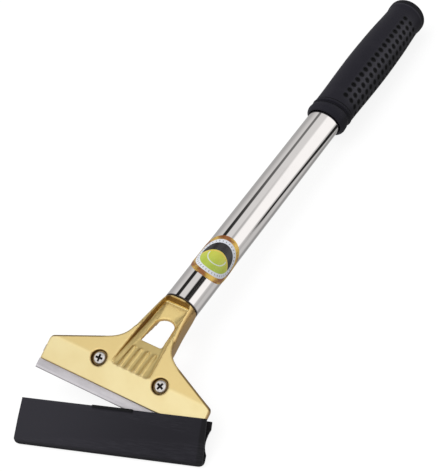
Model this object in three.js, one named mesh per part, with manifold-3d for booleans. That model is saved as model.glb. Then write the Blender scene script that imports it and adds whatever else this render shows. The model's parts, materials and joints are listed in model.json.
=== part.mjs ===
// Long-handled razor scraper: a die-cast head with a clamped blade, a plated steel tube,
// a moulded rubber grip and a slip-on blade cover that hangs half off the blade.
// Millimetres, +Z up. The tool lies on the cover's long edge and on the end of its grip.
// The head is drawn in a frame of its own: x along the blade, y from the cutting edge to
// the handle, z out of the screw side of the plate. The handle is drawn in a second frame,
// with y along the tube and z out of the front of the neck.
import * as THREE from 'three';
import { mergeVertices } from 'three/addons/utils/BufferGeometryUtils.js';
import Module from 'manifold-3d';

const wasm = await Module();
wasm.setup();

// Clearances, the overrun of every cut, and facet counts
const runGap = 0.3;
const seatGap = 0.15;
const cutOver = 2;
const roundFacets = 48;
const smallFacets = 32;
const curveSteps = 8;

// The handle leans back from the plate, and its line crosses the plate's front here
const bendAngle = THREE.MathUtils.degToRad(30.1);
const axisHeight = 16;

// Blade
const bladeLength = 100;
const bladeWidth = 13.4;
const bladeThick = 0.6;
const bladeBevel = 1.6;
const bladeEdge = 0.08;
const bladeExposed = 5.4;
const bladeHoleDiameter = 3.8;
const bladeHoleSpacing = 50;
const bladeNotchRadius = 2.1;
const bladeOverhang = 1.8;

// Plate and folded shoulders of the head casting
const seatThick = 3.4;
const plateCorner = 17.4;
const cornerCut = 1.1;
const foldHeight = 19.4;
const backFoldHeight = 23.2;
const shoulderInner = 22;
const shoulderTop = 31.8;
const shoulderSkin = 2.6;
const filletEnd = 31;
const rimEnd = 46;

// Neck of the head casting, by places along the tube's line
const neckRootAt = 8.8;
const neckRootHalf = 14.6;
const neckRootBack = -0.4;
const neckRootRound = 1;
const neckBellyAt = 18;
const neckBellyBack = 5.4;
const neckShoulderAt = 25;
const neckShoulderHalf = 13.3;
const neckShoulderRound = 2.6;
const neckWaistAt = 40;
const neckWaistHalf = 11.1;
const neckWaistBack = 7.8;
const neckWaistRound = 4;
const neckEnd = 57.3;
const neckRings = 16;

// Pockets, web, arched hole and ribs of the neck
const webTop = 1;
const webThick = 2.2;
const pocketStart = 3.2;
const pocketEnd = 54.8;
const pocketRootHalf = 11.8;
const pocketEndHalf = 7.4;
const pocketRootRound = 3;
const pocketEndRound = 1.6;
const rearStart = 20;
const rearEnd = 50;
const rearRootHalf = 10.4;
const rearEndHalf = 7.1;
const archStart = 24.5;
const archShoulder = 38;
const archRootHalf = 6.5;
const archHalf = 5.7;
const archCorner = 0.8;
const ribCount = 4;
const ribPitch = 4.4;
const ribWidth = 1.6;
const ribHeight = 0.9;
const ribEnd = 19;

// Spigot of the head casting, inside the tube
const spigotLength = 26;
const spigotChamfer = 1;

// Clamp screws: small pan heads with a cross recess
const screwSpacing = 38.4;
const screwHeight = 18.9;
const shankDiameter = 3.6;
const screwLength = 6;
const screwTip = 0.5;
const headDiameter = 7;
const headThick = 2.1;
const headRound = 1.2;
const headSunk = 1;
const boreDiameter = 9.1;
const recessLength = 4;
const recessWidth = 0.95;
const recessDepth = 1.2;
const recessTurns = [THREE.MathUtils.degToRad(4), THREE.MathUtils.degToRad(-23)];

// Clamp plate and its pressed-in nuts
const clampThick = 1.2;
const clampBottom = 6.2;
const clampTop = 22.6;
const clampCorner = 16.4;
const clampTopHalf = 39.6;
const clampEndInset = 0.8;
const clampRound = 2.5;
const nutBodyDiameter = 6;
const nutBodyLength = 1.8;
const nutShankDiameter = 5.2;
const nutBore = 4.1;
const nutChamfer = 0.4;

// Tube and its blind rivet
const tubeDiameter = 20.4;
const tubeWall = 1;
const tubeLength = 285.2;
const rivetDiameter = 3.2;
const rivetHeadDiameter = 6;
const rivetHeadThick = 0.9;
const rivetAt = 12;
const rivetReach = 4;

// Rubber grip, from its lip to its flared end
const gripLength = 123;
const gripEndWall = 3.2;
const collarRadius = 12.9;
const collarEnd = 8.2;
const lipRise = 2.2;
const lipReach = 4.8;
const grooveRadius = 12.05;
const grooveAt = 12.4;
const grooveWidth = 0.9;
const bodyRadius = 12.45;
const bodyStart = 14.2;
const waistRadius = 12.55;
const waistAt = 22;
const swellRadius = 13.42;
const swellAt = 58;
const palmRadius = 13.02;
const palmAt = 88;
const taperRadius = 11.92;
const taperAt = 112.6;
const flareRadius = 12.4;
const flareAt = 117;
const swellSteps = 13;
const shortSteps = 4;
const endRound = 2.6;
const endDome = 0.6;

// Round sticker, wrapped on the tube
const stickerDiameter = 32;
const stickerThick = 0.15;
const stickerGap = 0.12;
const stickerAt = 90;
const stickerTurn = THREE.MathUtils.degToRad(20);
const stickerRings = 8;

// Blade cover: a channel that is open at its top and ends
const coverLength = 104;
const coverHeight = 24.6;
const coverFlare = 1.2;
const coverRound = 3.2;
const coverRelief = 14;
const coverReliefAt = 14;
const coverReliefDepth = 1.3;
const coverWall = 1.6;
const coverFrontGap = 0.4;
const coverFrontFlat = 14;
const coverFloor = 2.4;
const coverFloorFront = 0.8;
const coverFloorWidth = 1.3;
const coverMouthWidth = 8.5;
const coverThroatAt = 16.6;
const coverThroatWidth = 7.6;
const coverSlotAt = 10;
const coverSlotWidth = 4.9;
const tabWidth = 22.5;
const tabRise = 1.3;
const tabReach = 1.1;
const tabRoot = 2.2;

// Where the cover hangs: its height on the shut blade, and its swing about one blade end
const coverShut = 13.4;
const coverSwing = THREE.MathUtils.degToRad(17.65);
const coverPivotHeight = 10.6;

// Finishes
const finish = (color, metalness, roughness) =>
  new THREE.MeshStandardMaterial({ color, metalness, roughness });
const gold = finish(0xe6cf94, 0.85, 0.36);
const bladeSteel = finish(0xc4c3c6, 0.9, 0.3);
const chrome = finish(0xdcdadf, 1, 0.1);
const zinc = finish(0xcfcfd4, 0.9, 0.35);
const rubber = finish(0x2e2e31, 0, 0.8);
const plastic = finish(0x2f2e32, 0, 0.55);
const paper = finish(0xd8c25a, 0.2, 0.4);

// A closed geometry becomes a solid for joins and cuts, and a solid becomes a geometry
function toSolid(geometry) {
  const bare = geometry.clone();
  bare.deleteAttribute('normal');
  bare.deleteAttribute('uv');
  const merged = mergeVertices(bare);
  return new wasm.Manifold(new wasm.Mesh({
    numProp: 3,
    vertProperties: Float32Array.from(merged.attributes.position.array),
    triVerts: Uint32Array.from(merged.index.array),
  }));
}

function toGeometry(solid) {
  const mesh = solid.getMesh();
  const geometry = new THREE.BufferGeometry();
  geometry.setAttribute('position', new THREE.BufferAttribute(mesh.vertProperties, 3));
  geometry.setIndex(new THREE.BufferAttribute(mesh.triVerts, 1));
  geometry.computeVertexNormals();
  return geometry;
}

// A plan drawn in x and y, raised from one height to another
function prism(shape, low, high) {
  const settings = { depth: high - low, curveSegments: curveSteps, bevelEnabled: false };
  return new THREE.ExtrudeGeometry(shape, settings).translate(0, 0, low);
}

// A side profile drawn in y and z, run along x to both sides of the middle
const sideways = new THREE.Matrix4().set(0, 0, 1, 0, 1, 0, 0, 0, 0, 1, 0, 0, 0, 0, 0, 1);
function sideRun(shape, halfLength) {
  return prism(shape, -halfLength, halfLength).applyMatrix4(sideways);
}

// A profile of radius and place, turned about y, or about z where it stands up
function turned(profile, facets) {
  return new THREE.LatheGeometry(profile.map(([radius, at]) => new THREE.Vector2(radius, at)), facets);
}

function turnedUp(profile, facets) {
  return turned(profile, facets).rotateX(Math.PI / 2);
}

function rod(radius, low, high, facets = smallFacets) {
  return turnedUp([[0, low], [radius, low], [radius, high], [0, high]], facets);
}

// A straight-sided outline with round corners, one reach for each corner
function roundedOutline(corners, reaches) {
  const shape = new THREE.Shape();
  corners.forEach((corner, i) => {
    const point = new THREE.Vector2(...corner);
    const before = new THREE.Vector2(...corners[(i + corners.length - 1) % corners.length]);
    const after = new THREE.Vector2(...corners[(i + 1) % corners.length]);
    const inward = before.sub(point).setLength(reaches[i]).add(point);
    const outward = after.sub(point).setLength(reaches[i]).add(point);
    if (i === 0) {
      shape.moveTo(inward.x, inward.y);
    } else {
      shape.lineTo(inward.x, inward.y);
    }
    shape.quadraticCurveTo(point.x, point.y, outward.x, outward.y);
  });
  shape.closePath();
  return shape;
}

// Rings with as many points each, joined by a skin and closed at both ends
function loft(rings) {
  const count = rings[0].length;
  const last = (rings.length - 1) * count;
  const faces = [];
  for (let start = 0; start < last; start += count) {
    for (let i = 0; i < count; i += 1) {
      const a = start + i;
      const b = start + (i + 1) % count;
      faces.push(a, b + count, b, a, a + count, b + count);
    }
  }
  for (let i = 1; i + 1 < count; i += 1) {
    faces.push(0, i, i + 1, last, last + i + 1, last + i);
  }
  const geometry = new THREE.BufferGeometry();
  geometry.setAttribute('position', new THREE.Float32BufferAttribute(rings.flat(2), 3));
  geometry.setIndex(faces);
  return geometry;
}

// A smooth value between stations of [place, value]
function between(stations, at) {
  const last = stations.length - 1;
  const slope = (i) => {
    const [before, after] = [stations[Math.max(i - 1, 0)], stations[Math.min(i + 1, last)]];
    return (after[1] - before[1]) / (after[0] - before[0]);
  };
  let i = 0;
  while (i < last - 1 && at > stations[i + 1][0]) i += 1;
  const span = stations[i + 1][0] - stations[i][0];
  const t = THREE.MathUtils.clamp((at - stations[i][0]) / span, 0, 1);
  const u = 1 - t;
  return stations[i][1] * u * u * (1 + 2 * t) + stations[i + 1][1] * t * t * (1 + 2 * u)
    + span * u * t * (slope(i) * u - slope(i + 1) * t);
}

// The handle frame in the head frame
const handleMatrix = new THREE.Matrix4().makeRotationX(-bendAngle).setPosition(0, axisHeight, 0);
const toHead = (along, height) => new THREE.Vector3(0, along, height).applyMatrix4(handleMatrix);
const fold = new THREE.Vector3(0, foldHeight, 0).applyMatrix4(handleMatrix.clone().invert());

// Heights of the blade stack, down from the plate's front
const bladeTop = -(seatThick + seatGap);
const bladeBack = bladeTop - bladeThick;
const clampFront = bladeBack - seatGap;
const clampBack = clampFront - clampThick;
const headSeat = -(headSunk + headThick);
const bladeMiddle = (bladeWidth + bladeBevel) / 2;

// The neck's sections by stations, as half widths, depths and corner rounds, up to the tube's size
const tubeRadius = tubeDiameter / 2;
const neckHalves = [[neckRootAt, neckRootHalf], [neckShoulderAt, neckShoulderHalf],
  [neckWaistAt, neckWaistHalf], [neckEnd, tubeRadius]];
const neckBacks = [[neckRootAt, neckRootBack], [neckBellyAt, neckBellyBack],
  [neckWaistAt, neckWaistBack], [neckEnd, tubeRadius]];
const neckRounds = [[neckRootAt, neckRootRound], [neckShoulderAt, neckShoulderRound],
  [neckWaistAt, neckWaistRound], [neckEnd, tubeRadius]];
const neckFront = (at) => fold.z + (tubeRadius - fold.z) * (at - fold.y) / (neckEnd - fold.y);

function neckRing(at) {
  const half = between(neckHalves, at);
  const front = neckFront(at);
  const back = -between(neckBacks, at);
  const round = Math.min(between(neckRounds, at), half, (front - back) / 2);
  return Array.from({ length: roundFacets }, (_, i) => {
    const angle = 2 * Math.PI * (i + 1 / 2) / roundFacets;
    const [across, up] = [Math.cos(angle), Math.sin(angle)];
    const height = (front + back) / 2 + Math.sign(up) * ((front - back) / 2 - round) + up * round;
    return [Math.sign(across) * (half - round) + across * round, at, height];
  });
}

function neckBody() {
  const places = Array.from({ length: neckRings + 1 }, (_, i) =>
    THREE.MathUtils.lerp(neckRootAt, neckEnd, i / neckRings));
  return toSolid(loft(places.map(neckRing)).applyMatrix4(handleMatrix));
}

// The plate seen from its front: a fillet runs from each shoulder into the neck's side, and
// the rim beside it fades into the neck's round corner
function plateOutline() {
  const half = bladeLength / 2;
  const corner = new THREE.Vector2(half - cornerCut, plateCorner + 2 * cornerCut);
  const inner = new THREE.Vector2(shoulderInner, shoulderTop);
  const side = new THREE.Vector2(between(neckHalves, filletEnd), toHead(filletEnd, 0).y);
  const above = new THREE.Vector2(neckWaistHalf, toHead(neckWaistAt, 0).y);
  const along = inner.clone().sub(corner);
  const down = side.clone().sub(above);
  const reach = along.clone().cross(above.clone().sub(inner)) / down.clone().cross(along);
  const bend = above.clone().addScaledVector(down, reach);
  const rim = new THREE.Vector2(between(neckHalves, rimEnd) - between(neckRounds, rimEnd), toHead(rimEnd, 0).y);
  const shape = new THREE.Shape();
  shape.moveTo(-half, bladeExposed);
  shape.lineTo(half, bladeExposed);
  shape.lineTo(half, plateCorner);
  shape.quadraticCurveTo(half, plateCorner + cornerCut, corner.x, corner.y);
  shape.lineTo(inner.x, inner.y);
  shape.quadraticCurveTo(bend.x, bend.y, side.x, side.y);
  shape.lineTo(rim.x, rim.y);
  shape.lineTo(-rim.x, rim.y);
  shape.lineTo(-side.x, side.y);
  shape.quadraticCurveTo(-bend.x, bend.y, -inner.x, inner.y);
  shape.lineTo(-corner.x, corner.y);
  shape.quadraticCurveTo(-half, plateCorner + cornerCut, -half, plateCorner);
  shape.closePath();
  return shape;
}

// The plate seen from its end: the blade's seat, its step, and the fold of both faces
function plateProfile() {
  const far = toHead(rimEnd, neckFront(rimEnd));
  const step = bladeWidth + runGap;
  const shape = new THREE.Shape();
  shape.moveTo(bladeExposed, 0);
  shape.lineTo(bladeExposed, -seatThick);
  shape.lineTo(step, -seatThick);
  shape.lineTo(step, bladeBack);
  shape.lineTo(backFoldHeight, bladeBack);
  shape.lineTo(far.y, far.z - shoulderSkin);
  shape.lineTo(far.y, far.z);
  shape.lineTo(foldHeight, 0);
  shape.closePath();
  return shape;
}

function plateBody() {
  const plan = toSolid(prism(plateOutline(), toHead(neckEnd, 0).z, cutOver));
  return plan.intersect(toSolid(sideRun(plateProfile(), bladeLength)));
}

// Cuts and ribs of the neck, drawn in the handle frame
function trough(start, end, startHalf, endHalf, startRound, endRound, low, high) {
  const corners = [[-startHalf, start], [startHalf, start], [endHalf, end], [-endHalf, end]];
  const shape = roundedOutline(corners, [startRound, startRound, endRound, endRound]);
  return toSolid(prism(shape, low, high).applyMatrix4(handleMatrix));
}

function archHole() {
  const shape = new THREE.Shape();
  shape.moveTo(-archRootHalf + archCorner, archStart);
  shape.lineTo(archRootHalf - archCorner, archStart);
  shape.quadraticCurveTo(archRootHalf, archStart, archRootHalf, archStart + archCorner);
  shape.lineTo(archHalf, archShoulder);
  shape.absarc(0, archShoulder, archHalf, 0, Math.PI, false);
  shape.lineTo(-archRootHalf, archStart + archCorner);
  shape.quadraticCurveTo(-archRootHalf, archStart, -archRootHalf + archCorner, archStart);
  return toSolid(prism(shape, -tubeRadius, tubeRadius).applyMatrix4(handleMatrix));
}

function neckRib(x) {
  const half = ribWidth / 2;
  const shape = new THREE.Shape();
  shape.moveTo(x - half, pocketStart - half);
  shape.lineTo(x + half, pocketStart - half);
  shape.lineTo(x + half, ribEnd - half);
  shape.absarc(x, ribEnd - half, half, 0, Math.PI, false);
  shape.closePath();
  return toSolid(prism(shape, webTop - ribHeight / 2, webTop + ribHeight).applyMatrix4(handleMatrix));
}

function spigot() {
  const radius = tubeRadius - tubeWall - runGap;
  const tip = neckEnd + spigotLength;
  const profile = [[0, neckEnd - cutOver], [radius, neckEnd - cutOver], [radius, tip - spigotChamfer],
    [radius - spigotChamfer, tip], [0, tip]];
  return toSolid(turned(profile, roundFacets).applyMatrix4(handleMatrix));
}

// A round hole from behind, through the tube and into the spigot
function rivetHole(radius) {
  const hole = rod(radius, -tubeRadius - cutOver, rivetReach + runGap - tubeRadius);
  return hole.translate(0, neckEnd + rivetAt, 0);
}

function headCasting() {
  const rearLow = webTop - webThick;
  let body = plateBody().add(neckBody());
  body = body.subtract(trough(pocketStart, pocketEnd, pocketRootHalf, pocketEndHalf,
    pocketRootRound, pocketEndRound, webTop, tubeRadius + cutOver));
  body = body.subtract(trough(rearStart, rearEnd, rearRootHalf, rearEndHalf,
    pocketRootRound, pocketEndRound, -tubeRadius - cutOver, rearLow));
  body = body.subtract(archHole());
  for (let i = 0; i < ribCount; i += 1) {
    body = body.add(neckRib((i - (ribCount - 1) / 2) * ribPitch));
  }
  body = body.add(spigot());
  body = body.subtract(toSolid(rivetHole(rivetDiameter / 2 + runGap).applyMatrix4(handleMatrix)));
  for (const side of [-1, 1]) {
    const bore = rod(boreDiameter / 2, headSeat, cutOver, roundFacets);
    const shaftHole = rod(shankDiameter / 2 + runGap, bladeBack - cutOver, headSeat + cutOver);
    const hole = toSolid(bore).add(toSolid(shaftHole));
    body = body.subtract(hole.translate([side * screwSpacing / 2, screwHeight, 0]));
  }
  return new THREE.Mesh(toGeometry(body), gold);
}

function blade() {
  const middle = (bladeTop + bladeBack) / 2;
  const shape = new THREE.Shape();
  shape.moveTo(0, middle - bladeEdge / 2);
  shape.lineTo(bladeBevel, bladeBack);
  shape.lineTo(bladeWidth, bladeBack);
  shape.lineTo(bladeWidth, bladeTop);
  shape.lineTo(bladeBevel, bladeTop);
  shape.lineTo(0, middle + bladeEdge / 2);
  shape.closePath();
  let body = toSolid(sideRun(shape, bladeLength / 2));
  for (const side of [-1, 1]) {
    const hole = rod(bladeHoleDiameter / 2, bladeBack - cutOver, bladeTop + cutOver);
    const notch = rod(bladeNotchRadius, bladeBack - cutOver, bladeTop + cutOver);
    body = body.subtract(toSolid(hole.translate(side * bladeHoleSpacing / 2, bladeMiddle, 0)));
    body = body.subtract(toSolid(notch.translate(side * bladeLength / 2, bladeMiddle, 0)));
  }
  const mesh = new THREE.Mesh(toGeometry(body), bladeSteel);
  mesh.position.x = -bladeOverhang;
  return mesh;
}

function clampPlate() {
  const half = bladeLength / 2 - clampEndInset;
  const corners = [[-half, clampBottom], [half, clampBottom], [half, clampCorner], [clampTopHalf, clampTop],
    [-clampTopHalf, clampTop], [-half, clampCorner]];
  const small = clampRound / 2;
  const shape = roundedOutline(corners, [small, small, small, clampRound, clampRound, small]);
  let body = toSolid(prism(shape, clampBack, clampFront));
  for (const side of [-1, 1]) {
    const hole = rod(nutShankDiameter / 2 + seatGap, clampBack - cutOver, clampFront + cutOver);
    body = body.subtract(toSolid(hole.translate(side * screwSpacing / 2, screwHeight, 0)));
  }
  return new THREE.Mesh(toGeometry(body), zinc);
}

// A threaded nut whose shank is pressed into the clamp plate from behind
function clinchNut() {
  const bore = nutBore / 2;
  const shank = nutShankDiameter / 2;
  const body = nutBodyDiameter / 2;
  const front = clampFront - seatGap;
  const shoulder = clampBack - seatGap;
  const back = shoulder - nutBodyLength;
  const profile = [[bore, back], [body - nutChamfer, back], [body, back + nutChamfer], [body, shoulder],
    [shank, shoulder], [shank, front], [bore, front], [bore, back]];
  return new THREE.Mesh(turnedUp(profile, smallFacets), zinc);
}

// The cross recess of a screw, a little narrower at its tips than a square cross
function crossRecess() {
  const reach = recessLength / 2;
  const half = recessWidth / 2;
  const shape = new THREE.Shape();
  for (let arm = 0; arm < 4; arm += 1) {
    const turn = arm * Math.PI / 2;
    const spot = (x, y) => [x * Math.cos(turn) - y * Math.sin(turn), x * Math.sin(turn) + y * Math.cos(turn)];
    if (arm === 0) {
      shape.moveTo(...spot(half, -half));
    } else {
      shape.lineTo(...spot(half, -half));
    }
    shape.lineTo(...spot(reach - half, -half));
    shape.quadraticCurveTo(...spot(reach, 0), ...spot(reach - half, half));
  }
  shape.closePath();
  return prism(shape, headThick - recessDepth, headThick + cutOver);
}

// A screw stands with the underside of its head at zero
function clampScrew(recessTurn) {
  const shank = shankDiameter / 2;
  const head = headDiameter / 2;
  const profile = [[0, -screwLength], [shank - screwTip, -screwLength], [shank, screwTip - screwLength],
    [shank, 0], [head, 0], [head, headThick - headRound]];
  for (let i = 1; i <= curveSteps; i += 1) {
    const angle = i / curveSteps * Math.PI / 2;
    profile.push([head - headRound * (1 - Math.cos(angle)), headThick - headRound * (1 - Math.sin(angle))]);
  }
  profile.push([0, headThick]);
  const recess = toSolid(crossRecess().rotateZ(recessTurn));
  return new THREE.Mesh(toGeometry(toSolid(turnedUp(profile, smallFacets)).subtract(recess)), zinc);
}

function handleTube() {
  const inner = tubeRadius - tubeWall;
  const start = neckEnd + runGap;
  const end = neckEnd + tubeLength;
  const profile = [[inner, start], [tubeRadius, start], [tubeRadius, end], [inner, end], [inner, start]];
  const body = toSolid(turned(profile, roundFacets)).subtract(toSolid(rivetHole(rivetDiameter / 2 + runGap)));
  return new THREE.Mesh(toGeometry(body), chrome);
}

// The rivet stands on the tube's back, with its low domed head outside
function tubeRivet() {
  const shaft = rivetDiameter / 2;
  const head = rivetHeadDiameter / 2;
  const skin = -tubeRadius - seatGap;
  const profile = [[0, skin - rivetHeadThick], [head / 2, skin - rivetHeadThick], [head, skin],
    [shaft, skin], [shaft, rivetReach - tubeRadius], [0, rivetReach - tubeRadius]];
  const mesh = new THREE.Mesh(turnedUp(profile, smallFacets), zinc);
  mesh.position.set(0, neckEnd + rivetAt, 0);
  return mesh;
}

// Points of a smooth line between two stations, both ends included
function sweep(stations, start, end, steps) {
  const places = Array.from({ length: steps + 1 }, (_, i) => THREE.MathUtils.lerp(start, end, i / steps));
  return places.map((at) => [between(stations, at), at]);
}

// A quarter turn of an ellipse from the top of a rim out to its side, or back
function quarter(centre, reach, steps) {
  return Array.from({ length: steps + 1 }, (_, i) => {
    const angle = i / steps * Math.PI / 2;
    return [centre[0] + reach[0] * Math.sin(angle), centre[1] + reach[1] * Math.cos(angle)];
  });
}

function grip() {
  const bore = tubeRadius + runGap;
  const inside = gripLength - gripEndWall;
  const collar = [[collarEnd, collarRadius], [grooveAt, grooveRadius]];
  const body = [[bodyStart, bodyRadius], [waistAt, waistRadius], [swellAt, swellRadius],
    [palmAt, palmRadius], [taperAt, taperRadius], [flareAt, flareRadius]];
  const endAt = gripLength - endDome - endRound;
  const profile = [[0, inside], [bore, inside], [bore, 0],
    ...quarter([collarRadius - lipRise, lipReach], [lipRise, -lipReach], shortSteps),
    ...sweep(collar, collarEnd, grooveAt, shortSteps),
    [grooveRadius, grooveAt + grooveWidth],
    ...sweep(body, bodyStart, taperAt, swellSteps),
    ...sweep(body, taperAt, flareAt, shortSteps).slice(1),
    ...quarter([flareRadius - endRound, endAt], [endRound, endRound], shortSteps).reverse(),
    [0, gripLength]];
  const mesh = new THREE.Mesh(turned(profile, roundFacets), rubber);
  mesh.position.set(0, neckEnd + tubeLength + gripEndWall + runGap - gripLength, 0);
  return mesh;
}

// A thin disc, bent round the tube
function sticker() {
  const radius = tubeRadius + stickerGap;
  const rim = stickerDiameter / 2;
  const rings = Array.from({ length: stickerRings + 1 }, (_, i) => rim * i / stickerRings);
  const profile = [...rings.map((r) => [r, 0]), ...rings.reverse().map((r) => [r, stickerThick])];
  const geometry = turnedUp(profile, roundFacets);
  const spots = geometry.attributes.position;
  for (let i = 0; i < spots.count; i += 1) {
    const angle = spots.getX(i) / radius + stickerTurn;
    const reach = radius + spots.getZ(i);
    spots.setXYZ(i, reach * Math.sin(angle), spots.getY(i), reach * Math.cos(angle));
  }
  geometry.computeVertexNormals();
  const mesh = new THREE.Mesh(geometry, paper);
  mesh.position.set(0, stickerAt, 0);
  return mesh;
}

// The channel's section: y up from its closed edge, z out of the plate's front
function coverSection() {
  const front = coverFrontGap;
  const floorFront = front - coverFloorFront;
  const inner = [[coverHeight, front], [coverFrontFlat, front], [coverFloor, floorFront],
    [coverFloor, floorFront - coverFloorWidth], [coverSlotAt, front - coverSlotWidth],
    [coverThroatAt, front - coverThroatWidth], [coverHeight, front - coverMouthWidth]];
  const outer = [[coverHeight, front - coverMouthWidth - coverWall],
    [coverThroatAt, front - coverThroatWidth - coverWall], [coverSlotAt, front - coverSlotWidth - coverWall],
    [coverFloor, floorFront - coverFloorWidth - coverWall], [0, floorFront - coverFloorWidth],
    [0, floorFront], [coverFloor, floorFront + coverWall], [coverFrontFlat, front + coverWall],
    [coverHeight, front + coverWall]];
  return new THREE.Shape([...inner, ...outer].map((spot) => new THREE.Vector2(...spot)));
}

// The channel seen from its front: a little longer at its closed edge, with round corners there
function coverOutline() {
  const half = coverLength / 2;
  const corners = [[-half - coverFlare, 0], [half + coverFlare, 0], [half, coverHeight], [-half, coverHeight]];
  return roundedOutline(corners, [coverRound, coverRound, seatGap, seatGap]);
}

function coverTab() {
  const face = coverFrontGap + coverWall;
  const corners = [[coverHeight - tabRoot, face - coverWall / 2], [coverHeight + tabRise, face - coverWall / 2],
    [coverHeight + tabRise, face + tabReach], [coverHeight - tabRoot / 2, face + tabReach]];
  return new THREE.Shape(corners.map((spot) => new THREE.Vector2(...spot)));
}

function bladeCover() {
  let body = toSolid(sideRun(coverSection(), coverLength / 2 + cutOver));
  body = body.intersect(toSolid(prism(coverOutline(), -coverLength / 2, coverLength / 2)));
  const back = -coverFloorWidth - coverWall;
  const relief = rod(coverRelief, back - coverMouthWidth, back, roundFacets);
  const reach = coverLength / 2 + coverRelief - coverReliefDepth;
  body = body.subtract(toSolid(relief.translate(reach, coverReliefAt, 0)));
  body = body.add(toSolid(sideRun(coverTab(), tabWidth / 2)));
  const mesh = new THREE.Mesh(toGeometry(body), plastic);
  mesh.position.set(-bladeLength / 2, coverShut - coverHeight - coverPivotHeight, 0);
  return mesh;
}

// The tool is put together in the head frame
const tool = new THREE.Group();
const handle = new THREE.Group();
handle.position.set(0, axisHeight, 0);
handle.rotation.x = -bendAngle;
const coverArm = new THREE.Group();
coverArm.position.set(bladeLength / 2, coverPivotHeight, 0);
coverArm.rotation.z = coverSwing;
tool.add(handle, coverArm);

function put(parent, name, mesh) {
  mesh.name = name;
  parent.add(mesh);
}

put(tool, 'head_casting', headCasting());
put(tool, 'blade', blade());
put(tool, 'clamp_plate', clampPlate());
['left', 'right'].forEach((side, i) => {
  const x = (i - 1 / 2) * screwSpacing;
  const nut = clinchNut();
  nut.position.set(x, screwHeight, 0);
  put(tool, `clinch_nut_${side}`, nut);
  const screw = clampScrew(recessTurns[i]);
  screw.position.set(x, screwHeight, headSeat + seatGap);
  put(tool, `clamp_screw_${side}`, screw);
});
put(handle, 'handle_tube', handleTube());
put(handle, 'tube_rivet', tubeRivet());
put(handle, 'grip', grip());
put(handle, 'sticker', sticker());
put(coverArm, 'blade_cover', bladeCover());

// The tool lies on two ends of the cover's closed edge and on the flare of its grip
function settle() {
  tool.updateMatrixWorld(true);
  const edge = coverFrontGap - coverFloorFront - coverFloorWidth;
  const cover = coverArm.children[0];
  const ends = [-1, 1].map((side) => cover.localToWorld(new THREE.Vector3(side * coverLength / 2, 0, edge)));
  const line = new THREE.Vector3(0, 1, 0).transformDirection(handle.matrixWorld);
  const rimAt = neckEnd + tubeLength + gripEndWall + runGap - endDome - endRound;
  const rim = handle.localToWorld(new THREE.Vector3(0, rimAt, 0));
  const up = new THREE.Vector3(0, 0, 1).transformDirection(handle.matrixWorld);
  for (let i = 0; i < curveSteps; i += 1) {
    const outward = up.clone().addScaledVector(line, -up.dot(line)).normalize();
    const touch = rim.clone().addScaledVector(outward, -flareRadius);
    up.crossVectors(ends[1].clone().sub(ends[0]), touch.sub(ends[0])).normalize();
  }
  const ahead = line.clone().addScaledVector(up, -line.dot(up)).normalize();
  const right = new THREE.Vector3().crossVectors(ahead, up);
  tool.quaternion.setFromRotationMatrix(new THREE.Matrix4().makeBasis(right, ahead, up).invert());
}

settle();
const scraper = new THREE.Group();
scraper.add(tool);
const extent = new THREE.Box3().setFromObject(scraper, true);
const middle = extent.getCenter(new THREE.Vector3());
tool.position.set(-middle.x, -middle.y, -extent.min.z);

export default scraper;
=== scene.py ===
import math

import bmesh
import bpy
from mathutils import Matrix, Vector
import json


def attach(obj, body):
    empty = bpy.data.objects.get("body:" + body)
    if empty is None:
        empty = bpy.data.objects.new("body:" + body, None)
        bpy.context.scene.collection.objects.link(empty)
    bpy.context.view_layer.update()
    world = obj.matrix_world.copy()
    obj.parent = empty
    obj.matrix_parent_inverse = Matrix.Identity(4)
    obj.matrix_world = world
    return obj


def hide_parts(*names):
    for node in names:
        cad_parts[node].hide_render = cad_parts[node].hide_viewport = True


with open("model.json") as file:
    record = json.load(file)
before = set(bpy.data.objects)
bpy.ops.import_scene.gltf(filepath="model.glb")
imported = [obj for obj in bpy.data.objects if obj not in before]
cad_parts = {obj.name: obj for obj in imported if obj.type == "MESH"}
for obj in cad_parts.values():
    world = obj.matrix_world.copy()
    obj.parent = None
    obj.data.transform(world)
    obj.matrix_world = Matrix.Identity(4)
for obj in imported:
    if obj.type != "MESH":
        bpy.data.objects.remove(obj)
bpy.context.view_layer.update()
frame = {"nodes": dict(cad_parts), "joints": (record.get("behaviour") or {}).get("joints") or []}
joints = {joint["name"]: joint for joint in frame["joints"]}
print("frame loaded:", len(frame["nodes"]), "nodes")


# Places: the head frame has x along the blade, y from the cutting edge to the handle and z out
# of the plate's front, all in millimetres. The handle's frame has y along the tube.
layout = {
    "metre": 1000,
    "handleTilt": 30.1,
    "handleRise": 16.0,
    "coverPivot": (50.0, 10.6, 0.0),
    "coverSwing": 17.65,
    "coverSpot": (-50.0, -21.8, 0.0),
    "screwSpots": {"left": -19.2, "right": 19.2},
    "screwRise": 18.9,
    "screwSeat": -2.95,
}


def headPlace():
    up = Vector(joints["screw_left_turn"]["axis"])
    along = -Vector(joints["blade_slide"]["axis"])
    away = up.cross(along)
    turn = Matrix((along, away, up)).transposed().to_4x4()
    pivot = Vector(joints["cover_swing"]["pos_m"])
    across, rise, _ = layout["coverPivot"]
    corner = pivot - (along * across + away * rise) / layout["metre"]
    return Matrix.Translation(corner) @ turn @ Matrix.Scale(1 / layout["metre"], 4)


def turned(degrees, axis):
    return Matrix.Rotation(math.radians(degrees), 4, axis)


head = headPlace()
handle = head @ Matrix.Translation((0, layout["handleRise"], 0)) @ turned(-layout["handleTilt"], "X")
coverArm = head @ Matrix.Translation(layout["coverPivot"]) @ turned(layout["coverSwing"], "Z")
cover = coverArm @ Matrix.Translation(layout["coverSpot"])


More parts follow.
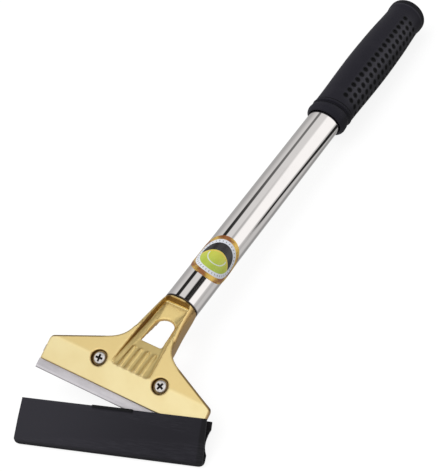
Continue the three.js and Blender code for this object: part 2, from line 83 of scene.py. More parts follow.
# Camera, placed in the head frame, with its focal length and its frame in pixels and its sensor in
# millimetres
view = {
    "right": (0.86323, 0.43053, -0.26358),
    "down": (0.36540, -0.89316, -0.26219),
    "ahead": (-0.34830, 0.13001, -0.92832),
    "shift": (-57.061, 88.496, 792.801),
    "focal": 1500,
    "frame": (441, 472),
    "halfPixel": 0.5,
    "sensor": 36,
    "clipEnd": 20,
}


def addCamera():
    rows = Matrix((view["right"], view["down"], view["ahead"]))
    turn = head.to_3x3().normalized()
    spot = head @ -(rows.transposed() @ Vector(view["shift"]))
    right, down, ahead = (turn @ row for row in rows)
    width = view["frame"][0]
    lens = bpy.data.cameras.new("camera")
    lens.sensor_fit = "HORIZONTAL"
    lens.sensor_width = view["sensor"]
    lens.lens = view["sensor"] * view["focal"] / width
    lens.shift_x = -view["halfPixel"] / width
    lens.shift_y = view["halfPixel"] / width
    lens.clip_end = view["clipEnd"]
    camera = bpy.data.objects.new("camera", lens)
    camera.matrix_world = Matrix.Translation(spot) @ Matrix((right, -down, -ahead)).transposed().to_4x4()
    bpy.context.scene.collection.objects.link(camera)
    bpy.context.scene.camera = camera
    print("camera at", [round(value, 4) for value in spot])


addCamera()


# Shader maths: arithmetic on a wire adds its Math nodes
class Wire:
    def __init__(self, paint, socket):
        self.paint = paint
        self.socket = socket

    def __add__(self, other):
        return self.paint.math("ADD", self, other)

    def __radd__(self, other):
        return self.paint.math("ADD", other, self)

    def __sub__(self, other):
        return self.paint.math("SUBTRACT", self, other)

    def __rsub__(self, other):
        return self.paint.math("SUBTRACT", other, self)

    def __mul__(self, other):
        return self.paint.math("MULTIPLY", self, other)

    def __rmul__(self, other):
        return self.paint.math("MULTIPLY", other, self)

    def __truediv__(self, other):
        return self.paint.math("DIVIDE", self, other)

    def __abs__(self):
        return self.paint.math("ABSOLUTE", self)


# Colour sockets of a Mix node, by number, since its other kinds share their names
mixSockets = {"factor": 0, "first": 6, "second": 7, "result": 2}


# Nodes of a material or of the surroundings, and the masks that they share
class Paint:
    def __init__(self, tree):
        self.tree = tree
        self.tree.nodes.clear()

    def node(self, kind, settings=None, feeds=None, out=0):
        made = self.tree.nodes.new(kind)
        for key, value in (settings or {}).items():
            setattr(made, key, value)
        for key, value in (feeds or {}).items():
            if isinstance(value, Wire):
                self.tree.links.new(value.socket, made.inputs[key])
            else:
                made.inputs[key].default_value = value
        return Wire(self, made.outputs[out]) if made.outputs else made

    def math(self, operation, *values):
        return self.node("ShaderNodeMath", {"operation": operation}, dict(enumerate(values)))

    def most(self, first, *others):
        for other in others:
            first = self.math("MAXIMUM", first, other)
        return first

    def reach(self, across, along):
        return self.math("SQRT", across * across + along * along)

    def ramp(self, value, low, high):
        feeds = {"Value": value, "From Min": low, "From Max": high}
        return self.node("ShaderNodeMapRange", {"interpolation_type": "SMOOTHSTEP"}, feeds)

    def band(self, value, middle, half, soft):
        return 1 - self.ramp(abs(value - middle), half - soft, half + soft)

    def mix(self, factor, first, second):
        feeds = {mixSockets["factor"]: factor, mixSockets["first"]: first, mixSockets["second"]: second}
        return self.node("ShaderNodeMix", {"data_type": "RGBA"}, feeds, mixSockets["result"])

    def layers(self, base, *coats):
        # Colours laid over one another, each by its mask
        for mask, tone in coats:
            base = self.mix(mask, base, tone)
        return base

    def noise(self, place, scale, detail=2, roughness=0.5, stretch=None):
        if stretch:
            place = self.node("ShaderNodeVectorMath", {"operation": "MULTIPLY"}, {0: place, 1: stretch})
        feeds = {"Vector": place, "Scale": scale, "Detail": detail, "Roughness": roughness}
        return self.node("ShaderNodeTexNoise", None, feeds)

    def pointiness(self):
        return self.node("ShaderNodeNewGeometry", out="Pointiness")

    def local(self, matrix):
        # Places in a frame's own millimetres
        back = matrix.inverted()
        scale = 1 / matrix.to_scale().x
        feeds = {
            "Vector": self.node("ShaderNodeTexCoord", out="Object"),
            "Location": back.translation,
            "Rotation": back.to_3x3().normalized().to_euler("XYZ"),
            "Scale": (scale, scale, scale),
        }
        return self.node("ShaderNodeMapping", {"vector_type": "POINT"}, feeds)

    def split(self, place):
        parts = self.node("ShaderNodeSeparateXYZ", None, {0: place}).socket.node
        return [Wire(self, part) for part in parts.outputs]

    def facing(self, matrix):
        # How far the surface faces along a frame's z, either way
        up = matrix.to_3x3().normalized().col[2]
        normal = self.node("ShaderNodeTexCoord", out="Normal")
        along = self.node("ShaderNodeVectorMath", {"operation": "DOT_PRODUCT"}, {0: normal, 1: up}, "Value")
        return abs(along)

    def bump(self, height, depth, strength):
        feeds = {"Height": height, "Distance": depth, "Strength": strength}
        return self.node("ShaderNodeBump", None, feeds)


def colour(red, green, blue):
    # A screen colour of 0 to 255, made linear by the sRGB curve
    def straight(value):
        share = value / 255
        return share / 12.92 if share <= 0.04045 else ((share + 0.055) / 1.055) ** 2.4
    return (straight(red), straight(green), straight(blue), 1)


def newMaterial(name, recipe, **settings):
    material = bpy.data.materials.new(name)
    material.use_nodes = True
    paint = Paint(material.node_tree)
    surface = paint.node("ShaderNodeBsdfPrincipled", None, recipe(paint, **settings))
    paint.node("ShaderNodeOutputMaterial", None, {"Surface": surface})
    return material


# Forms are made in a piece's own frame and then put in their place. Distances are in millimetres
# and angles in degrees.
shaping = {"weld": 0.002, "spinWeld": 0.0005, "flatBelow": 1, "sharpAbove": 25, "smoothBelow": 30,
           "smoothFactor": 0.5, "bevelSteps": 2}


def meshFrom(form, name, matrix, smoothBelow=shaping["smoothBelow"]):
    mesh = bpy.data.meshes.new(name)
    form.to_mesh(mesh)
    form.free()
    mesh.transform(matrix)
    mesh.shade_smooth()
    mesh.set_sharp_from_angle(angle=math.radians(smoothBelow))
    return mesh


def addPiece(name, mesh, material, body, slot, *nodes):
    piece = bpy.data.objects.new(name, mesh)
    bpy.context.scene.collection.objects.link(piece)
    mesh.materials.clear()
    mesh.materials.append(material)
    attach(piece, body)
    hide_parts(*nodes)
    print(name, "made:", len(mesh.vertices), "vertices")
    return piece


def nodeForm(node, matrix):
    form = bmesh.new()
    form.from_mesh(frame["nodes"][node].data)
    bmesh.ops.transform(form, matrix=matrix.inverted(), verts=form.verts)
    bmesh.ops.remove_doubles(form, verts=form.verts, dist=shaping["weld"])
    return form


def spun(profile, steps):
    form = bmesh.new()
    spots = [form.verts.new((radius, along, 0)) for radius, along in profile]
    edges = [form.edges.new(pair) for pair in zip(spots, spots[1:])]
    bmesh.ops.spin(form, geom=spots + edges, cent=(0, 0, 0), axis=(0, 1, 0), dvec=(0, 0, 0),
                   angle=2 * math.pi, steps=steps, use_merge=True, use_normal_flip=False, use_duplicate=False)
    bmesh.ops.remove_doubles(form, verts=form.verts, dist=shaping["spinWeld"])
    bmesh.ops.recalc_face_normals(form, faces=form.faces)
    return form


def quarterTurn(steps):
    # The angles of its steps, in radians
    return [index / steps * math.pi / 2 for index in range(steps + 1)]


def softened(node, matrix, voxel, rounds, reshape=None):
    # A copy of the node with its edges rounded, as a casting's are
    scratch = bpy.data.meshes.new("scratch")
    form = nodeForm(node, matrix)
    if reshape:
        reshape(form)
    form.to_mesh(scratch)
    form.free()
    holder = bpy.data.objects.new("scratch", scratch)
    bpy.context.scene.collection.objects.link(holder)
    remesh = holder.modifiers.new("remesh", "REMESH")
    remesh.mode = "VOXEL"
    remesh.voxel_size = voxel
    smooth = holder.modifiers.new("smooth", "SMOOTH")
    smooth.factor = shaping["smoothFactor"]
    smooth.iterations = rounds
    graph = bpy.context.evaluated_depsgraph_get()
    mesh = bpy.data.meshes.new_from_object(holder.evaluated_get(graph))
    bpy.data.objects.remove(holder)
    bpy.data.meshes.remove(scratch)
    mesh.transform(matrix)
    mesh.shade_smooth()
    return mesh


def bevelled(node, matrix, width, steps=shaping["bevelSteps"], sharpAbove=shaping["sharpAbove"]):
    # A copy of the node with its sharp edges bevelled
    form = nodeForm(node, matrix)
    bmesh.ops.dissolve_limit(form, angle_limit=math.radians(shaping["flatBelow"]), verts=form.verts,
                             edges=form.edges)
    sharp = [edge for edge in form.edges
             if edge.is_manifold and edge.calc_face_angle() > math.radians(sharpAbove)]
    bmesh.ops.bevel(form, geom=sharp, offset=width, offset_type="OFFSET", affect="EDGES", segments=steps,
                    profile=0.5, material=-1, clamp_overlap=True)
    bmesh.ops.recalc_face_normals(form, faces=form.faces)
    return form


# In the finishes and the surroundings below, a Range is where a change starts and where it ends, a
# Line has a middle, a half width and a softness, and a Share is how strongly a mask is laid on. A
# noise has a scale, a detail, a roughness and a stretch, and a bump a depth in metres and a strength.

# Gold of the casting: a satin coat with a warm cloudy tone, and with painted light and shade: painted
# highlights on its shoulders and under its pocket's end, and painted shade on its sides, along its edges
# and its lower edge, in its hollows, in its bores, in its pocket and along its shoulders' edges. It is
# rubbed through to pale metal here and there on the edges of the blade's seat
goldCoat = {
    "fresh": colour(249, 232, 178), "warm": colour(236, 212, 150), "shoulder": colour(255, 226, 154),
    "side": colour(204, 162, 102), "lip": colour(146, 112, 56), "pocketShade": colour(230, 203, 128),
    "corner": colour(104, 70, 20), "foot": colour(250, 232, 170), "worn": colour(176, 172, 164),
    "clouds": (0.05, 3), "warmRange": (0.35, 0.7), "warmShare": 0.4,
    "foldRange": (18.4, 21.4), "shoulderShare": 0.8,
    "facingRange": (0.4, 0.93), "sideShadeShare": 0.85,
    "edgeRange": (0.508, 0.535), "edgeShadeShare": 0.5, "lowerEdgeShadeRange": (5.55, 5.95),
    "pocketShadeShare": 0.3, "wallShadeShare": 0.9, "footHighlightShare": 0.6,
    "hollowRange": (0.36, 0.47), "hollowShadeShare": 0.6,
    "boreRange": (4.6, 5.0), "boreHeightRange": (-0.8, -0.1), "boreShadeShare": 0.6,
    "rubbed": (0.9, 4, 0.7, (0.6, 1, 1)), "rubbedRange": (0.5, 0.66), "seatRange": (6, 9.5),
    "wornShare": 0.8, "grain": (2.2, 3, 0.6), "peel": (0.55, 2), "grainBump": 0.35, "bump": (0.00006, 0.5),
    "roughness": 0.3, "cloudRough": 0.06, "grainRough": 0.05,
}

# Painted shade along the edge of each sloping shoulder, from its outer foot to its inner tip
shoulderEdge = {"foot": (48.9, 19.6), "tip": (22.0, 31.8), "tipFade": (-1, 3), "width": 1.1, "share": 0.75}

# Pocket of the neck, in the handle's frame: its outline, the front that its depth is taken from,
# the painted shade on its walls, the painted highlight line under its end, and the painted shade
# along its left and in the valleys between its ribs
pocket = {
    "from": 3.2, "half": 12.7, "taper": 0.1, "frontAt": 1.25, "frontSlope": 0.1563,
    "startRange": (2.6, 3.4), "stopRange": (53.9, 54.3), "sideRange": (-0.5, 0.1),
    "floorRange": (0.2, 0.7), "depthRange": (0.2, 0.8),
    "rimRange": (-1.6, -0.6), "rightRange": (2, 4), "rightFade": 0.5,
    "endRange": (51.8, 52.4), "wallRange": (4.4, 5.6), "endWallRange": (5.2, 5.9),
    "footHighlightLine": (6.2, 0.5, 0.3), "shadeRange": (-3.4, -1.2), "shadeShare": 0.35,
    "valleyRange": (1.1, 1.6), "ribEndRange": (17, 21), "valleyShadeShare": 0.18,
}


def pocketMask(paint):
    side, along, out = paint.split(paint.local(handle))
    half = pocket["half"] - (along - pocket["from"]) * pocket["taper"]
    depth = pocket["frontAt"] + along * pocket["frontSlope"] - out
    inside = 1 - paint.ramp(abs(side) - half, *pocket["sideRange"])
    inside = inside * paint.ramp(along, *pocket["startRange"])
    inside = inside * (1 - paint.ramp(along, *pocket["stopRange"]))
    inside = inside * paint.ramp(out, *pocket["floorRange"]) * paint.ramp(depth, *pocket["depthRange"])
    # Painted shade on the walls, along the floor by the left wall and in the rib valleys; painted highlight
    # under the end
    rim = paint.ramp(abs(side) - half, *pocket["rimRange"])
    rim = rim * (1 - paint.ramp(side, *pocket["rightRange"]) * pocket["rightFade"])
    end = paint.ramp(along, *pocket["endRange"])
    high = 1 - paint.ramp(depth, *pocket["wallRange"])
    high = high + (1 - paint.ramp(depth, *pocket["endWallRange"]) - high) * end
    line = paint.band(depth, *pocket["footHighlightLine"]) * end
    shade = paint.ramp(0 - side - half, *pocket["shadeRange"]) * pocket["shadeShare"]
    valleyShade = 1 - paint.ramp(out, *pocket["valleyRange"])
    valleyShade = valleyShade * (1 - paint.ramp(along, *pocket["ribEndRange"])) * pocket["valleyShadeShare"]
    return inside, paint.most(paint.most(rim, end) * high, shade, valleyShade), line


def shoulderMask(paint, side, rise):
    foot, tip = Vector(shoulderEdge["foot"]), Vector(shoulderEdge["tip"])
    run = (tip - foot).normalized()
    reach = (abs(side) - foot.x) * run.y - (rise - foot.y) * run.x
    line = paint.ramp(reach, -shoulderEdge["width"], -shoulderEdge["width"] / 2)
    return line * paint.ramp(abs(side), *[tip.x + fade for fade in shoulderEdge["tipFade"]])


# Painted shade in the bore round each screw head
def boreShadeMask(paint, side, rise, height):
    reach = paint.reach(abs(side) - layout["screwSpots"]["right"], rise - layout["screwRise"])
    sunk = 1 - paint.ramp(height, *goldCoat["boreHeightRange"])
    return (1 - paint.ramp(reach, *goldCoat["boreRange"])) * sunk


def goldRecipe(paint):
    place = paint.local(head)
    side, rise, height = paint.split(place)
    clouds = paint.noise(place, *goldCoat["clouds"])
    grain = paint.noise(place, *goldCoat["grain"])
    peel = paint.noise(place, *goldCoat["peel"])
    rubbed = paint.noise(place, *goldCoat["rubbed"])
    pointed = paint.pointiness()
    hollow = 1 - paint.ramp(pointed, *goldCoat["hollowRange"])
    edge = paint.ramp(pointed, *goldCoat["edgeRange"])
    worn = edge * paint.ramp(rubbed, *goldCoat["rubbedRange"])
    worn = worn * (1 - paint.ramp(rise, *goldCoat["seatRange"]))
    aside = 1 - paint.ramp(paint.most(paint.facing(head), paint.facing(handle)), *goldCoat["facingRange"])
    inside, wall, line = pocketMask(paint)
    outside = 1 - inside
    base = paint.layers(
        goldCoat["fresh"],
        (paint.ramp(clouds, *goldCoat["warmRange"]) * goldCoat["warmShare"], goldCoat["warm"]),
        # Painted highlight: the shoulders above the fold, paler and yellower as if lit
        (paint.ramp(rise, *goldCoat["foldRange"]) * goldCoat["shoulderShare"], goldCoat["shoulder"]),
        # Painted shade on faces turned away from the plate's front and the neck's front
        (aside * outside * goldCoat["sideShadeShare"], goldCoat["side"]),
        # Painted shade along convex edges, and a painted shadow line along the plate's lower edge
        (edge * outside * goldCoat["edgeShadeShare"], goldCoat["lip"]),
        (1 - paint.ramp(rise, *goldCoat["lowerEdgeShadeRange"]), goldCoat["lip"]),
        # Painted shade in the pocket, darker at its walls, with a painted highlight line under its end
        (inside * goldCoat["pocketShadeShare"], goldCoat["pocketShade"]),
        (inside * wall * goldCoat["wallShadeShare"], goldCoat["corner"]),
        (inside * line * goldCoat["footHighlightShare"], goldCoat["foot"]),
        # Painted shade in hollows, in the screw bores and along the shoulders' edges
        (hollow * outside * goldCoat["hollowShadeShare"], goldCoat["corner"]),
        (boreShadeMask(paint, side, rise, height) * goldCoat["boreShadeShare"], goldCoat["corner"]),
        (shoulderMask(paint, side, rise) * shoulderEdge["share"], goldCoat["corner"]),
        (worn * goldCoat["wornShare"], goldCoat["worn"]),
    )
    rough = goldCoat["roughness"] + clouds * goldCoat["cloudRough"]
    return {
        "Base Color": base,
        "Metallic": 1.0,
        "Roughness": rough + grain * goldCoat["grainRough"],
        "Normal": paint.bump(grain * goldCoat["grainBump"] + peel, *goldCoat["bump"]),
    }


# Head casting, softened. In the handle's frame, the end of its neck sits a little lower than in the
# solids, most in front, and the end of the pocket's floor a little higher.
casting = {
    "voxel": 0.42, "rounds": 7,
    "trimFrom": 51.0, "trimTo": 57.3, "trimPast": 1.01, "trim": 1.9, "lean": 1.6, "radius": 10.2,
    "floorAt": 1.0, "floorNear": 0.05, "floorEndFrom": 52.5, "floorLift": 2.0,
}


def leant(spot):
    # How much lower the neck's end sits at a spot, and the tube's start with it
    return casting["trim"] + casting["lean"] * max(spot.z, 0) / casting["radius"]


def trimNeck(form):
    toHandle = handle.inverted() @ head
    for vert in form.verts:
        spot = toHandle @ vert.co
        share = (spot.y - casting["trimFrom"]) / (casting["trimTo"] - casting["trimFrom"])
        if spot.y > casting["floorEndFrom"] and abs(spot.z - casting["floorAt"]) < casting["floorNear"]:
            spot.z += casting["floorLift"]
        if 0 < share < casting["trimPast"]:
            vert.co = toHandle.inverted() @ (spot - Vector((0, leant(spot) * share, 0)))


gold = newMaterial("gold", goldRecipe)
headMesh = softened("head_casting", head, casting["voxel"], casting["rounds"], trimNeck)
addPiece("head_skin", headMesh, gold, "tool", "gold", "head_casting")


# Ground steel of the blade: draw lines along it, stained a little, darker towards its left end, and a
# bright bevel down to its dark tip
bladeGrind = {
    "face": colour(218, 214, 218), "darkerGrey": colour(150, 148, 152), "tip": colour(140, 136, 140),
    "lines": (1, 3, 0.6, (0.05, 6, 6)), "clouds": (0.09, 4, 0.6, (0.6, 1.4, 1)),
    "stainRange": (0.42, 0.68), "stainShare": 0.25, "leftRange": (-52, -15), "leftShare": 0.35,
    "bevelRange": (1.5, 1.7), "bevelShare": 0.8, "tipRange": (0.25, 0.6),
    "metallic": 0.9, "roughness": 0.3, "lineRough": 0.14, "cloudRough": 0.08, "bevelShine": 0.08,
    "bump": (0.00002, 0.5),
}
bladeEdge = {"width": 0.02, "steps": 1, "sharpAbove": 60, "smoothBelow": 20}


def bladeRecipe(paint):
    place = paint.local(head)
    side, rise, _ = paint.split(place)
    lines = paint.noise(place, *bladeGrind["lines"])
    clouds = paint.noise(place, *bladeGrind["clouds"])
    bevel = 1 - paint.ramp(rise, *bladeGrind["bevelRange"])
    base = paint.layers(
        bladeGrind["face"],
        (paint.ramp(clouds, *bladeGrind["stainRange"]) * bladeGrind["stainShare"], bladeGrind["darkerGrey"]),
        # Darker towards the left end
        ((1 - paint.ramp(side, *bladeGrind["leftRange"])) * bladeGrind["leftShare"], bladeGrind["darkerGrey"]),
        (bevel * bladeGrind["bevelShare"], bladeGrind["face"]),
        (1 - paint.ramp(rise, *bladeGrind["tipRange"]), bladeGrind["tip"]),
    )
    rough = bladeGrind["roughness"] + lines * bladeGrind["lineRough"] + clouds * bladeGrind["cloudRough"]
    return {
        "Base Color": base,
        "Metallic": bladeGrind["metallic"],
        "Roughness": rough - bevel * bladeGrind["bevelShine"],
        "Normal": paint.bump(lines, *bladeGrind["bump"]),
    }


bladeSteel = newMaterial("blade_steel", bladeRecipe)
bladeForm = bevelled("blade", head, bladeEdge["width"], bladeEdge["steps"], bladeEdge["sharpAbove"])
bladeMesh = meshFrom(bladeForm, "razor_blade", head, bladeEdge["smoothBelow"])
addPiece("razor_blade", bladeMesh, bladeSteel, "blade", "blade_steel", "blade")


# Bright zinc of the clamp plate, the nuts, the rivet and the screws, with painted shade in its hollows
# and, on each screw, a dark cross painted for the shade in its recess
zincPlate = {
    "bright": colour(222, 218, 214), "dull": colour(172, 168, 168), "corner": colour(78, 72, 66),
    "cross": colour(38, 32, 30),
    "clouds": (0.35, 4, 0.65), "dullRange": (0.4, 0.75), "hollowRange": (0.36, 0.48), "hollowShadeShare": 0.85,
    "crossSoft": 0.1, "crossRange": (0, 0.4),
    "grain": (3, 2), "bump": (0.00002, 0.4), "metallic": 0.95, "roughness": 0.26, "cloudRough": 0.12,
}


def crossShadeMask(paint, place, cross):
    side, rise, height = paint.split(place)
    ahead = side * math.cos(cross["turn"]) + rise * math.sin(cross["turn"])
    aside = rise * math.cos(cross["turn"]) - side * math.sin(cross["turn"])
    soft = zincPlate["crossSoft"]
    arms = [paint.band(first, 0, cross["reach"], soft) * paint.band(second, 0, cross["half"], soft)
            for first, second in ((ahead, aside), (aside, ahead))]
    return paint.most(*arms) * paint.ramp(height, *zincPlate["crossRange"])


def zincRecipe(paint, matrix, cross=None):
    place = paint.local(matrix)
    clouds = paint.noise(place, *zincPlate["clouds"])
    hollow = 1 - paint.ramp(paint.pointiness(), *zincPlate["hollowRange"])
    base = paint.layers(
        zincPlate["bright"],
        (paint.ramp(clouds, *zincPlate["dullRange"]), zincPlate["dull"]),
        # Painted shade in hollows
        (hollow * zincPlate["hollowShadeShare"], zincPlate["corner"]),
    )
    if cross:
        # A dark cross painted for the shade in the screw's cross recess
        base = paint.mix(crossShadeMask(paint, place, cross), base, zincPlate["cross"])
    return {
        "Base Color": base,
        "Metallic": zincPlate["metallic"],
        "Roughness": zincPlate["roughness"] + clouds * zincPlate["cloudRough"],
        "Normal": paint.bump(paint.noise(place, *zincPlate["grain"]), *zincPlate["bump"]),
    }


# Clamp plate and its nuts
clamp = {"plateBevel": 0.25, "nutBevel": 0.12}
zinc = newMaterial("zinc", zincRecipe, matrix=head)
clampMesh = meshFrom(bevelled("clamp_plate", head, clamp["plateBevel"]), "clamp_bar", head)
addPiece("clamp_bar", clampMesh, zinc, "clamp", "zinc", "clamp_plate")
for side in layout["screwSpots"]:
    nut = bevelled(f"clinch_nut_{side}", head, clamp["nutBevel"])
    addPiece(f"nut_{side}", meshFrom(nut, f"nut_{side}", head), zinc, "clamp", "zinc", f"clinch_nut_{side}")


# Clamp screws, each with its cross turned its own way, in degrees
screws = {"voxel": 0.11, "rounds": 3, "cross": {"reach": 2.1, "half": 0.6},
          "turns": {"left": 4, "right": -23}}
for side, across in layout["screwSpots"].items():
    spot = head @ Matrix.Translation((across, layout["screwRise"], layout["screwSeat"]))
    mesh = softened(f"clamp_screw_{side}", spot, screws["voxel"], screws["rounds"])
    cross = {"turn": math.radians(screws["turns"][side]), **screws["cross"]}
    zincScrew = newMaterial(f"zinc_screw_{side}", zincRecipe, matrix=spot, cross=cross)
    addPiece(f"screw_{side}", mesh, zincScrew, f"screw_{side}", "zinc", f"clamp_screw_{side}")


# Chrome of the tube: mirror bright, with faint draw lines, a few rubbed patches and, at the neck's
# end, a dark line of painted shade and painted reflection of the neck
tubePlate = {
    "bright": colour(240, 236, 234), "dull": colour(214, 208, 206), "neckShade": colour(46, 34, 30),
    "draw": (1, 3, 0.6, (3, 0.03, 3)), "rubbed": (0.07, 4, 0.65), "specks": (1.4, 3, 0.7),
    "rubbedRange": (0.5, 0.75), "speckRange": (0.4, 0.7), "dullShare": 0.5,
    "neckShadeRange": (56.2, 56.5), "neckShadeShare": 0.9,
    "roughness": 0.025, "dullRough": 0.05, "drawRough": 0.02, "bump": (0.000004, 0.4),
}


def chromeRecipe(paint):
    place = paint.local(handle)
    draw = paint.noise(place, *tubePlate["draw"])
    rubbed = paint.ramp(paint.noise(place, *tubePlate["rubbed"]), *tubePlate["rubbedRange"])
    specks = paint.ramp(paint.noise(place, *tubePlate["specks"]), *tubePlate["speckRange"])
    dull = rubbed * specks
    _, along, out = paint.split(place)
    # Painted shade and reflection: a dark line round the tube's start, slanted as the neck's end is
    neckShade = along + paint.most(out, 0) * (casting["lean"] / casting["radius"])
    neckShade = 1 - paint.ramp(neckShade, *tubePlate["neckShadeRange"])
    base = paint.layers(
        tubePlate["bright"],
        (dull * tubePlate["dullShare"], tubePlate["dull"]),
        (neckShade * tubePlate["neckShadeShare"], tubePlate["neckShade"]),
    )
    return {
        "Base Color": base,
        "Metallic": 1.0,
        "Roughness": tubePlate["roughness"] + dull * tubePlate["dullRough"] + draw * tubePlate["drawRough"],
        "Normal": paint.bump(draw, *tubePlate["bump"]),
    }


# Tube, with a soft edge at its start, and its rivet, in the handle's frame
tube = {"radius": 10.2, "wall": 1.0, "start": 57.6, "end": 342.5, "soft": 0.2, "softShare": 0.3,
        "softRun": 0.6, "startReach": 1.0, "facets": 128}
rivet = {"along": 69.3, "seat": 10.35, "head": 3.0, "dome": 0.9, "facets": 48, "steps": 8}


def tubeForm():
    inner, outer = tube["radius"] - tube["wall"], tube["radius"]
    start, end, soft = tube["start"], tube["end"], tube["soft"]
    part = soft * tube["softShare"]
    profile = [(inner, start), (outer - soft, start), (outer - part, start + part), (outer, start + soft),
               (outer, start + tube["softRun"]), (outer, end - soft), (outer, end), (inner, end)]
    profile.append(profile[0])
    form = spun(profile, tube["facets"])
    for vert in form.verts:
        if vert.co.y < start + tube["startReach"]:
            vert.co.y -= leant(vert.co)
    return form


def rivetForm():
    dome = [(rivet["head"] * math.sin(angle), rivet["seat"] + rivet["dome"] * math.cos(angle))
            for angle in quarterTurn(rivet["steps"])]
    form = spun(dome + [(rivet["head"], rivet["seat"]), (0, rivet["seat"])], rivet["facets"])
    bmesh.ops.transform(form, matrix=turned(-90, "X"), verts=form.verts)
    bmesh.ops.translate(form, vec=(0, rivet["along"], 0), verts=form.verts)
    return form


chrome = newMaterial("chrome", chromeRecipe)
zincHandle = newMaterial("zinc_handle", zincRecipe, matrix=handle)
tubeMesh = meshFrom(tubeForm(), "tube_skin", handle)
rivetMesh = meshFrom(rivetForm(), "rivet_head", handle)
addPiece("tube_skin", tubeMesh, chrome, "tool", "chrome", "handle_tube")
addPiece("rivet_head", rivetMesh, zincHandle, "tool", "zinc", "tube_rivet")


# Grip, in the handle's frame from its own start: spun with its grooves, with two panels of dimples
# pressed into opposite sides. Its mouth and its ring of grooves are slanted, and its stations are
# places along it, or places with their radii.
grip = {
    "start": 222.99, "length": 123.0, "facets": 32, "swell": 1.02, "smoothing": 2, "smoothBelow": 180,
    "bore": 10.5, "boreSoft": 0.3, "boreStations": (60, 1.2, 0.3), "boreNear": 1.0, "endWall": 3.2,
    "lipRise": 2.2, "lipReach": 4.8, "lipSteps": 6,
    "mouthReach": 9.0, "mouthLift": 2.9, "mouthLean": 2.8,
    "ringFrom": 4.8, "ringFull": 11.0, "ringFade": 15.7, "ringTo": 18.6,
    "ringDrop": 1.15, "ringLean": 2.4, "ringTurn": 1.15,
    "collar": 12.9, "collarLine": [(8.2, 12.75), (11.4, 12.1)],
    "collarStations": (6.6, 8.2, 9.4, 10.4, 11.1, 11.4),
    "grooves": [(11.7, 11.1), (12.9, 11.1), (13.4, 12.85), (14.3, 12.85)],
    "fineGroove": [(14.9, 12.45), (15.15, 12.2), (15.4, 12.45)],
    "body": [(14.2, 12.45), (22, 12.55), (58, 13.42), (88, 13.02), (112.6, 11.92), (117, 12.4)],
    "bodyFirst": [15.7, 16.6], "bodyLast": [108.2, 110.2, 111.8, 113.2, 114.6, 116, 117, 118.4],
    "endRound": 2.6, "endSteps": 5, "endDome": 0.6, "domeSteps": [(0.25, 6.5), (0.05, 3), (0, 0)],
    "dimpleFirst": 20.0, "dimplePitch": 5.31, "dimpleCount": 17, "dimpleRows": 5, "dimpleTurn": 25.0,
    "dimpleRim": 0.08, "dimpleWall": 0.22, "dimpleDepth": 1.1, "dimpleNear": 0.1,
}
gripPlace = handle @ Matrix.Translation((0, grip["start"], 0))

# Rubber of the grip: black with faint dust, and with painted light and shade: a painted highlight
# between its dimples, to the left and in a line round its far end, and painted shade in its dimples
# and grooves, to the right and at its far end. The Edges are how many rows, and how many dimples, a
# panel reaches past its last ones, each with its softness.
gripRubber = {
    "black": colour(32, 31, 38), "dust": colour(48, 46, 52), "between": colour(66, 65, 71),
    "pit": colour(9, 9, 10),
    "clouds": (0.08, 4, 0.6), "dustRange": (0.5, 0.8), "dustShare": 0.25,
    "panelEdges": ((0.4, 0.2), (0.5, 0.3)), "paleEdges": ((-0.2, 1.0), (0, 1.5)), "panelLightShare": 0.9,
    "pitRange": (1.7, 2.05), "pitShadeShare": 0.9,
    "rightRange": (9.5, 14.5), "rightShadeShare": 0.8, "leftRange": (9.0, 14.0), "leftShare": 0.7,
    "grooveLines": ((12.3, 0.4, 0.2), (15.15, 0.4, 0.2)), "grooveShadeShare": 0.8,
    "rimLine": (116.4, 0.3, 0.3), "rimHighlightShare": 0.45, "endRange": (116.9, 117.8), "endShadeShare": 0.6,
    "grain": (3.5, 3, 0.6), "bump": (0.00005, 0.5),
    "specular": 0.1, "roughness": 0.45, "cloudRough": 0.1, "grainRough": 0.06,
}


def dimpleMask(paint, side, along, out):
    # Painted shade at each dimple of the two panels, and the panels, which get a painted highlight
    step = 360 / grip["facets"]
    angle = paint.math("ARCTAN2", side, out) * (180 / math.pi) - grip["dimpleTurn"] + step
    row = (paint.math("FLOORED_MODULO", angle, 180.0) - step) / (2 * step)
    spot = (along - grip["dimpleFirst"]) / grip["dimplePitch"]
    aside = (row - paint.math("ROUND", row)) * (math.radians(2 * step) * grip["collar"])
    ahead = (spot - paint.math("ROUND", spot)) * grip["dimplePitch"]

    def panel(rowEdge, spotEdge):
        rows, spots = (grip["dimpleRows"] - 1) / 2, (grip["dimpleCount"] - 1) / 2
        return (paint.band(row, rows, rows + rowEdge[0], rowEdge[1])
                * paint.band(spot, spots, spots + spotEdge[0], spotEdge[1]))

    pit = 1 - paint.ramp(paint.reach(aside, ahead), *gripRubber["pitRange"])
    return pit * panel(*gripRubber["panelEdges"]), panel(*gripRubber["paleEdges"])


